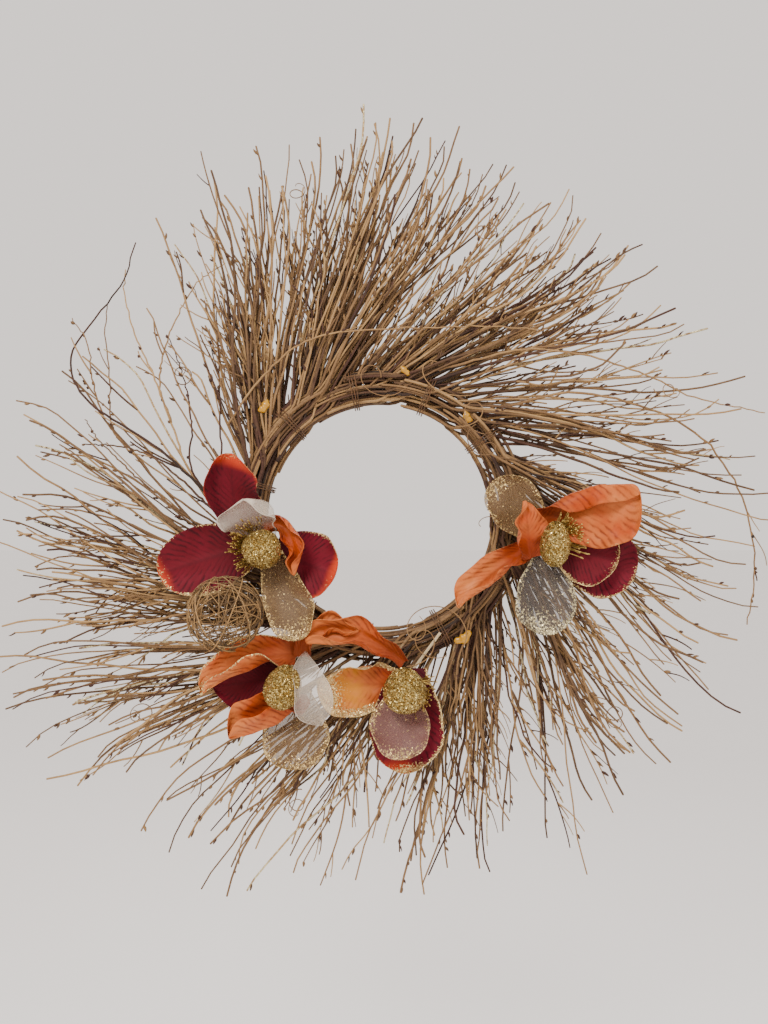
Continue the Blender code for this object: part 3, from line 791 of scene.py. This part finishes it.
def make_petal(name, flower, slot, finish, heading, length, width, shift=(0, 0), layer=2.0, rise=(12, 0, 0),
               cup=(25, 25), fold=(0, 0), fold_at=0.45, bend=0, twist=0, ruffle=0.0018, root=0.30, peak=0.60,
               point=0.10, glitter=1.0, dye=1.0, crumple=0.0004, seed=0):
    """A petal: its middle line turns in the wreath's plane by bend, and its climb in degrees is a square
    law of the way. At each step the cross-section leaves the middle line at right angles, and its slope
    grows to cup at the edge, with fold added past fold_at. Edge waves grow with the distance across, two
    crossed waves crumple it, and veins press small ridges. cup and fold are for the anticlockwise side and
    then the other, shift is (right, up), and angles are in degrees."""
    draw = np.random.default_rng(seed + len(name))
    steps, cells = 46, 37
    way = 0.5 - 0.5 * np.cos(np.linspace(0, pi, steps))
    across = np.linspace(-1, 1, cells)
    gaps = np.diff(way, prepend=0.0)[:, None] * length
    turned = radians(heading) + radians(bend) * way
    climb = np.radians(rise[0] + rise[1] * way + rise[2] * way**2)
    flat = np.stack((np.sin(turned), np.zeros(steps), np.cos(turned)), -1)
    square = np.stack((np.cos(turned), np.zeros(steps), -np.sin(turned)), -1)
    ahead = flat * np.cos(climb)[:, None] + FORWARD * np.sin(climb)[:, None]
    facing = FORWARD * np.cos(climb)[:, None] - flat * np.sin(climb)[:, None]
    roll = np.radians(twist) * way
    side = square * np.cos(roll)[:, None] + facing * np.sin(roll)[:, None]
    facing = facing * np.cos(roll)[:, None] - square * np.sin(roll)[:, None]
    start = flower.foot + FORWARD * (POST_FRONT + LAYER * layer) + out(heading) * ROOT_OUT
    start = start + np.array((shift[0], 0.0, shift[1]))
    middle = start + np.cumsum(ahead * gaps, axis=0)
    half = width / 2 * outline(way, root, peak, point)[:, None]
    cupped = np.where(across < 0, cup[0], cup[1])
    folded = np.where(across < 0, fold[0], fold[1])
    over_edge = np.clip((np.abs(across) - fold_at) / 0.25, 0, 1)
    over_edge = over_edge**2 * (3 - 2 * over_edge)
    taken = np.clip((way[:, None] - 0.05) / 0.30, 0, 1)
    slope = np.radians(cupped * np.abs(across) * (0.55 + 0.45 * way[:, None]) + folded * over_edge * taken)
    middle_cell = cells // 2
    sides = slope[:, middle_cell + 1:], slope[:, :middle_cell][:, ::-1]
    run = [np.cumsum(np.cos(half_slope), 1) for half_slope in sides]
    climbed = [np.cumsum(np.sin(half_slope), 1) for half_slope in sides]
    nothing = np.zeros((steps, 1))
    cell = half * (2 / (cells - 1))
    over = np.concatenate((-run[1][:, ::-1], nothing, run[0]), 1) * cell
    up = np.concatenate((climbed[1][:, ::-1], nothing, climbed[0]), 1) * cell
    phase = draw.random(3) * 2 * pi
    edge = np.abs(across) ** 2.2
    grown = 0.3 + way[:, None]
    wave = ruffle * edge * np.sin(2 * pi * EDGE_WAVES * way[:, None] + phase[0] + 1.6 * across) * grown
    wave = wave + ruffle * 0.5 * np.sin(2 * pi * 1.3 * way[:, None] + 2.5 * across + phase[1])
    swept = 8 * (way[:, None] - 0.42 * np.abs(across))
    ridge = np.sin(2 * pi * (swept + 0.5 * np.sin(5 * across + phase[2])))
    wave = wave + 0.00016 * ridge * np.clip(way[:, None] * 4, 0, 1) + 0.0004 * np.exp(-(across / 0.09) ** 2)
    crease = np.sin(7 * way[:, None] + 4 * across + phase[0])
    crease = crease * np.sin(11 * way[:, None] - 6 * across + phase[1])
    wave = wave + crumple * crease * np.clip(way[:, None] * 3, 0, 1)
    over = over - wave * np.sin(slope) * np.sign(across)
    up = up + wave * np.cos(slope)
    points = middle[:, None] + side[:, None] * over[..., None] + facing[:, None] * up[..., None]
    step, spot = np.meshgrid(np.arange(steps - 1), np.arange(cells - 1), indexing="ij")
    corner = step * cells + spot
    quads = np.stack((corner, corner + 1, corner + cells + 1, corner + cells), -1).reshape(-1, 4)
    numbers = {"along": np.repeat(way, cells), "across": np.tile(across, steps),
               "glitter": np.full(steps * cells, glitter), "dye": np.full(steps * cells, dye)}
    sizes = np.full(len(quads), 4)
    piece = mesh_of(name + "_petal", points.reshape(-1, 3), quads.ravel(), sizes, finish, numbers)
    wall = piece.modifiers.new("cloth", "SOLIDIFY")
    wall.thickness = CLOTH
    wall.offset = 0.0
    finished(piece, slot, name)


def make_left_petals(red, orange, white, brown):
    """The flower on the left: three burgundy petals, one curled orange, one white and one brown sheer."""
    flower = Flower("left")
    make_petal("left_burgundy_side", flower, "burgundy_fabric", red, 255, 0.100, 0.068, shift=(0.0, 0.006),
               layer=1.6, rise=(16, -14, 0), cup=(16, 30), ruffle=0.0012, root=0.5, peak=0.56, point=0.0,
               bend=-4, dye=1.0, seed=1)
    make_petal("left_burgundy_top", flower, "burgundy_fabric", red, 314, 0.092, 0.060,
               shift=(-0.004, 0.002), layer=2, rise=(18, 2, 0), cup=(26, 40), fold=(46, 0), fold_at=0.4,
               bend=68, twist=8, ruffle=0.0026, root=0.34, peak=0.70, point=0.0, glitter=0.4, dye=1.5,
               seed=2)
    make_petal("left_burgundy_inner", flower, "burgundy_fabric", red, 111, 0.067, 0.066, layer=0.3,
               rise=(16, -4, 0), cup=(20, 34), peak=0.60, point=-0.10, root=0.6, glitter=0.7, dye=1.1,
               seed=3)
    make_petal("left_orange_curl", flower, "orange_fabric", orange, 62, 0.080, 0.032, shift=(-0.015, 0.017),
               layer=2.6, rise=(30, -30, 0), cup=(50, 60), fold=(50, 70), fold_at=0.3, bend=150, twist=-20,
               ruffle=0.0035, glitter=0.0, root=0.7, crumple=0.0018, seed=4)
    make_petal("left_sheer_white", flower, "sheer_white_fabric", white, 334, 0.064, 0.066,
               shift=(0.008, 0.0), layer=3, rise=(36, 22, 0), cup=(14, 60), fold=(0, 60), ruffle=0.0030,
               root=0.2, peak=0.8, point=-0.10, glitter=0.25, seed=5)
    make_petal("left_sheer_brown", flower, "sheer_brown_fabric", brown, 158, 0.088, 0.048,
               shift=(0.002, 0.0), layer=2.6, rise=(16, 0, 0), cup=(34, 40), root=0.5, peak=0.66,
               point=-0.05, glitter=1.4, seed=6)


def make_low_petals(red, orange, white, brown):
    """The flower low on the left: three orange petals, one burgundy, one brown and one white sheer."""
    flower = Flower("low")
    make_petal("low_orange_side", flower, "orange_fabric", orange, 278, 0.100, 0.052, shift=(0.016, 0.026),
               layer=2.6, rise=(22, -6, -14), cup=(24, 44), fold=(118, 0), fold_at=0.15, bend=-58,
               ruffle=0.0028, peak=0.50, root=0.4, point=0.30, glitter=1.3, crumple=0.0012, seed=7)
    make_petal("low_burgundy", flower, "burgundy_fabric", red, 264, 0.064, 0.052, shift=(0.0, 0.004),
               layer=1.4, rise=(12, 0, 0), cup=(30, 20), peak=0.55, root=0.5, point=0.25, glitter=0.0,
               dye=0.6, seed=8)
    make_petal("low_orange_bottom", flower, "orange_fabric", orange, 248, 0.082, 0.062,
               shift=(0.028, -0.014), layer=2.8, rise=(26, -16, 0), cup=(20, 50), fold=(132, 0),
               fold_at=0.10, bend=-2, ruffle=0.003, peak=0.62, root=0.15, point=0.0, glitter=0.2,
               crumple=0.0014, seed=9)
    make_petal("low_orange_top", flower, "orange_fabric", orange, 8, 0.074, 0.032, shift=(0.013, 0.018),
               layer=3.0, rise=(24, -20, 0), cup=(50, 60), fold=(30, 60), fold_at=0.3, bend=110, twist=20,
               ruffle=0.003, glitter=0.0, root=0.5, crumple=0.0018, seed=10)
    make_petal("low_sheer_brown", flower, "sheer_brown_fabric", brown, 178, 0.076, 0.066,
               shift=(0.008, 0.0), layer=0.4, rise=(14, 0, 0), cup=(30, 34), root=0.4, peak=0.6, point=-0.1,
               glitter=1.2, seed=11)
    make_petal("low_sheer_white", flower, "sheer_white_fabric", white, 176, 0.080, 0.042,
               shift=(0.018, 0.036), layer=4, rise=(70, -100, 0), cup=(12, 60), fold=(0, 40), bend=-20,
               ruffle=0.002, root=0.10, peak=0.66, point=0.45, glitter=0.25, seed=12)


def make_middle_petals(red, orange, mauve):
    """The lowest flower: a gold-crusted and a long orange petal, one burgundy and one mauve sheer."""
    flower = Flower("middle")
    make_petal("middle_orange_gold", flower, "orange_fabric", orange, 268, 0.078, 0.060, shift=(0.0, 0.002),
               layer=1.4, rise=(20, -14, 0), cup=(34, 50), fold=(0, 40), fold_at=0.5, ruffle=0.0038,
               peak=0.6, root=0.5, point=0.02, glitter=3.4, crumple=0.0016, seed=13)
    make_petal("middle_orange_long", flower, "orange_fabric", orange, 322, 0.106, 0.046,
               shift=(0.004, 0.014), layer=1.8, rise=(26, -20, -8), cup=(50, 44), fold=(76, 30),
               fold_at=0.25, bend=-70, twist=-16, ruffle=0.0035, peak=0.72, root=0.25, point=0.1,
               glitter=0.2, crumple=0.0020, seed=14)
    make_petal("middle_burgundy", flower, "burgundy_fabric", red, 180, 0.098, 0.074, shift=(0.004, 0.022),
               layer=1.2, rise=(8, 2, 0), cup=(36, 36), bend=6, ruffle=0.002, peak=0.60, root=0.5,
               point=0.08, dye=1.3, glitter=1.1, seed=15)
    make_petal("middle_sheer_mauve", flower, "sheer_brown_fabric", mauve, 186, 0.062, 0.058, layer=3.6,
               rise=(22, 0, 0), cup=(30, 34), root=0.55, peak=0.55, point=-0.05, seed=16)


def make_right_petals(red, orange, brown, grey):
    """The flower on the right: three orange petals, two burgundy, one grey and one brown sheer."""
    flower = Flower("right")
    make_petal("right_orange_large", flower, "orange_fabric", orange, 72, 0.100, 0.084,
               shift=(-0.020, 0.018), layer=2.8, rise=(20, 2, 0), cup=(30, 24), fold=(140, 0), fold_at=0.38,
               bend=4, ruffle=0.0050, peak=0.66, root=0.3, point=-0.05, glitter=0.3, crumple=0.0016,
               seed=17)
    make_petal("right_orange_small", flower, "orange_fabric", orange, 349, 0.058, 0.040,
               shift=(-0.018, -0.020), layer=4.0, rise=(34, -30, 0), cup=(40, 30), fold=(50, 0),
               fold_at=0.3, bend=0, ruffle=0.003, peak=0.45, root=0.5, point=0.45, glitter=0.2,
               crumple=0.0014, seed=18)
    make_petal("right_orange_narrow", flower, "orange_fabric", orange, 244, 0.094, 0.038,
               shift=(-0.014, -0.002), layer=1.8, rise=(20, -10, 0), cup=(60, 40), fold=(70, 0),
               fold_at=0.25, bend=-22, twist=-20, ruffle=0.003, root=0.5, glitter=0.3, dye=1.6,
               crumple=0.0014, seed=19)
    make_petal("right_burgundy_front", flower, "burgundy_fabric", red, 105, 0.060, 0.064, layer=1.7,
               rise=(20, 0, 0), cup=(26, 30), root=0.5, peak=0.55, point=-0.02, dye=0.5, glitter=1.3,
               seed=20)
    make_petal("right_burgundy_back", flower, "burgundy_fabric", red, 110, 0.080, 0.070, layer=0.4,
               rise=(10, 4, 0), cup=(20, 26), root=0.4, peak=0.62, point=-0.02, dye=0.45, seed=21)
    make_petal("right_sheer_grey", flower, "sheer_brown_fabric", grey, 188, 0.082, 0.060, layer=1.8,
               rise=(14, 0, 0), cup=(26, 30), root=0.4, peak=0.62, point=-0.05, glitter=1.2, seed=22)
    make_petal("right_sheer_brown", flower, "sheer_brown_fabric", brown, 318, 0.076, 0.054, layer=0.3,
               rise=(8, 0, 0), cup=(26, 26), root=0.4, peak=0.62, point=-0.05, seed=23)


# ---------------------------------------------------------------- eggs, stamens, ball, glue

def make_egg(name, finish, tilt):
    """A glitter egg: a grid of latitudes and longitudes on the CAD egg's box, narrower towards its top, with
    every point lifted by its own random crumb, flat-shaded, and closed by a point at each pole."""
    low, high = box_of(name)
    centre, size = (low + high) / 2, (high - low) / 2
    draw = np.random.default_rng(len(name) * 11)
    rows, cells = 64, 104
    tall = np.linspace(0, pi, rows + 2)[1:-1, None]
    turn = (np.arange(cells) * 2 * pi / cells)[None] + np.where(np.arange(rows) % 2, pi / cells, 0)[:, None]
    narrow = 1 - 0.10 * np.cos(tall)
    body = np.stack((np.sin(tall) * np.cos(turn) * narrow, np.sin(tall) * np.sin(turn) * narrow,
                     np.cos(tall) * np.ones_like(turn)), -1)
    crumb = 1 + draw.normal(0, 0.016, (rows, cells, 1))
    lean = np.array(((np.cos(tilt), 0, np.sin(tilt)), (0, 1, 0), (-np.sin(tilt), 0, np.cos(tilt))))
    points = (body * crumb * size * 0.985).reshape(-1, 3)
    points = np.concatenate((points, ((0, 0, size[2]), (0, 0, -size[2])))) @ lean.T + centre
    step, spot = np.meshgrid(np.arange(rows - 1), np.arange(cells), indexing="ij")
    after = (spot + 1) % cells
    quads = np.stack((step * cells + spot, (step + 1) * cells + spot, (step + 1) * cells + after,
                      step * cells + after), -1).reshape(-1, 4)
    spot, after = np.arange(cells), (np.arange(cells) + 1) % cells
    last, poles = (rows - 1) * cells, rows * cells
    top = np.stack((np.full(cells, poles), spot, after), -1)
    bottom = np.stack((np.full(cells, poles + 1), last + after, last + spot), -1)
    loops = np.concatenate((quads.ravel(), top.ravel(), bottom.ravel()))
    sizes = np.concatenate((np.full(len(quads), 4), np.full(2 * cells, 3)))
    finished(mesh_of(name + "_glitter", points, loops, sizes, finish, {}, smooth=False), "gold_glitter", name)


FILAMENT_R = 0.00048      # half a gold filament's thickness between its knots
FILAMENTS_FRONT = 0.0205  # where the filaments start, in front of the post's foot


def make_stamens(side, finish, headings, count, forward, length):
    """Gold filaments that leave the post behind the egg, splay out round given clock angles and bend
    forward, each ending in a small bead."""
    name = side + "_stamens"
    flower = Flower(side)
    draw = np.random.default_rng(len(name) + count)
    heading = np.radians(draw.choice(headings, count) + draw.normal(0, 9, count))
    way = np.linspace(0, 1, 16)[None, :, None]
    ahead = np.stack((np.sin(heading), np.zeros(count), np.cos(heading)), -1)[:, None]
    egg_low, egg_high = box_of(flower.name + "_egg")
    past = (egg_high[0] - egg_low[0]) / 2
    reach = past * draw.uniform(0.9, 1.05, (count, 1, 1)) + draw.uniform(*length, (count, 1, 1)) * way**1.5
    start = flower.foot + FORWARD * FILAMENTS_FRONT
    lift = draw.uniform(*forward, (count, 1, 1)) * way**1.7
    wave = draw.normal(0, 0.0016, (count, 1, 3)) * np.sin(way * 5)
    paths = start + ahead * reach * np.minimum(way * 1.9 + 0.15, 1) + FORWARD * lift + wave
    bead = 1 + 0.35 * np.exp(-((way[..., 0] - 0.96) / 0.05) ** 2)
    knots = 1 + 0.35 * np.sin(way[..., 0] * 40 + draw.random((count, 1)) * 6)
    filaments = plain_set(paths, FILAMENT_R * bead * knots, 6, 0.5)
    finished(tubes_piece(name + "_filaments", [filaments], finish), "gold_filament", name)


def make_raffia_ball(finish):
    """The raffia ball: long strands wound on great circles whose poles point at random, each with a slow
    wave in and out, over a looser inner layer."""
    low, high = box_of("raffia_ball")
    centre, size = (low + high) / 2, float((high - low).min() / 2)
    sets = []
    for seed, count, inner, outer, thick in ((1, 52, 0.88, 0.985, 0.00050), (2, 14, 0.55, 0.88, 0.0005),
                                             (3, 14, 0.93, 1.0, 0.00080)):
        draw = np.random.default_rng(seed)
        pole = unit(draw.normal(0, 1, (count, 3)))
        first = unit(np.cross(pole, draw.normal(0, 1, (count, 3))))
        second = np.cross(pole, first)
        turn = np.linspace(0, 1, 52)[None] * draw.uniform(2.0, 6.2, (count, 1)) + draw.random((count, 1)) * 6
        lean = draw.uniform(-0.45, 0.45, (count, 1)) * np.cos(turn * 0.5)
        lean = lean + draw.uniform(-0.3, 0.3, (count, 1))
        ring = (np.cos(turn)[..., None] * first[:, None] + np.sin(turn)[..., None] * second[:, None]
                + lean[..., None] * pole[:, None])
        radius = size * (draw.uniform(inner, outer, (count, 1)) + 0.03 * np.sin(turn * 2.1 + pole[:, :1] * 9))
        paths = centre + unit(ring) * np.minimum(radius, size * 0.995)[..., None]
        sets.append(plain_set(paths, thick, 5, draw.uniform(0.1, 1.0, count), 0.0, pole, 0.6))
    finished(tubes_piece("raffia_strands", sets, finish), "raffia", "raffia_ball")


# Drops of hot glue, as (clock angle, radius, forward, length, width).
GLUE = ((313, 0.160, 0.017, 0.015, 0.008), (10, 0.147, 0.018, 0.011, 0.006), (42, 0.132, 0.019, 0.012, 0.007),
        (146, 0.146, 0.021, 0.019, 0.009), (256, 0.135, 0.021, 0.012, 0.008))


def make_glue(finish):
    """Glue drops: spheres stretched along the ring, made uneven by three slow waves."""
    sets = []
    for clock, radius, forward, long, wide in GLUE:
        way = np.linspace(-1, 1, 22)
        path = polar(clock + np.degrees(way * long / 2 / radius), radius + 0.002 * np.sin(way * 2.1 + clock),
                     -forward + 0.0015 * way)
        swell = wide / 2 * np.sqrt(np.maximum(1 - way**2, 0.004)) * (1 + 0.18 * np.sin(way * 7 + clock))
        sets.append(plain_set(path[None], swell[None], 14, 0.5, 0.0, (0.0, 1.0, 0.0), 0.6))
    finished(tubes_piece("glue_drops", sets, finish), "pick_stalk")


def make_floor():
    """A plain pale floor, far below the wreath, as one large square."""
    finish = Finish("studio_floor")
    pale = finish.blend(finish.noise(3.0), (0.93, 0.91, 0.90), (0.95, 0.93, 0.92))
    material = finish.surface(Base_Color=pale, Roughness=0.9)
    half, level = 60.0, CENTRE[2] - 0.95
    corners = ((-half, -half), (half, -half), (half, half), (-half, half))
    points = np.array([(*corner, level) for corner in corners])
    floor = mesh_of("studio_floor", points, np.arange(4), np.array((4,)), material, {})


def make_world():
    """An even warm white all round."""
    world = bpy.data.worlds.new("studio")
    world.use_nodes = True
    background = world.node_tree.nodes["Background"]
    background.inputs["Color"].default_value = (0.95, 0.88, 0.83, 1.0)
    background.inputs["Strength"].default_value = 1.3
    bpy.context.scene.world = world


# ---------------------------------------------------------------- the whole wreath

make_camera()
make_world()
make_floor()
make_light("key", (-0.6, -1.5, 1.0), 0.6, 38.0, (1.0, 0.96, 0.91))
make_light("fill", (1.3, -1.1, 0.0), 1.6, 9.0, (0.95, 0.97, 1.0))
make_light("back", (0.5, 1.4, 0.9), 1.2, 12.0)

bark = bark_finish()
for number in range(len(TWIGS)):
    make_bundle(number, bark)
make_lone_twigs(bark)
make_curls(bark)
wire = steel_finish()
make_hoop(wire)
make_ties(wire)

burgundy = fabric_finish("burgundy_cloth", ground=tint(88, 4, 18), deep=tint(38, 1, 8), rim=tint(190, 56, 20),
                         patch_and_highlight=tint(124, 20, 44), rim_start=0.88, vein_count=15.0, patchy=1.2, rough=0.66,
                         crumple=0.35)
orange = fabric_finish("orange_cloth", ground=tint(172, 64, 13), deep=tint(102, 27, 5),
                       rim=tint(196, 104, 46), patch_and_highlight=tint(218, 132, 70), rim_start=0.70, vein_count=13.0,
                       patchy=2.6, rough=0.50, crumple=2.2)
white = sheer_finish("white_organza", tint(214, 200, 184), 0.27, 0.5)
brown = sheer_finish("brown_organza", tint(118, 88, 52), 0.52, 1.0)
grey = sheer_finish("grey_organza", tint(84, 76, 70), 0.40, 1.0, CHAMPAGNE)
mauve = sheer_finish("mauve_organza", tint(126, 84, 76), 0.66, 1.0)
make_left_petals(burgundy, orange, white, brown)
make_low_petals(burgundy, orange, white, brown)
make_middle_petals(burgundy, orange, mauve)
make_right_petals(burgundy, orange, brown, grey)

glitter = glitter_finish()
for egg, tilt in (("left_egg", 0.5), ("low_egg", 0.3), ("middle_egg", 0.0), ("right_egg", 0.05)):
    make_egg(egg, glitter, tilt)
gold = filament_finish()
make_stamens("left", gold, (235, 262, 285, 300, 315, 330), 96, (0.012, 0.028), (0.004, 0.014))
make_stamens("middle", gold, (75, 100, 125, 140), 40, (0.006, 0.020), (0.002, 0.009))
make_stamens("right", gold, (25, 45, 60, 75, 95), 90, (0.006, 0.019), (0.006, 0.018))
make_raffia_ball(raffia_finish())
make_glue(glue_finish())
stalk = stalk_finish()
for pick in ("left_pick", "low_pick", "middle_pick", "right_pick"):
    bpy.data.objects[pick].data.materials.clear()
    bpy.data.objects[pick].data.materials.append(stalk)
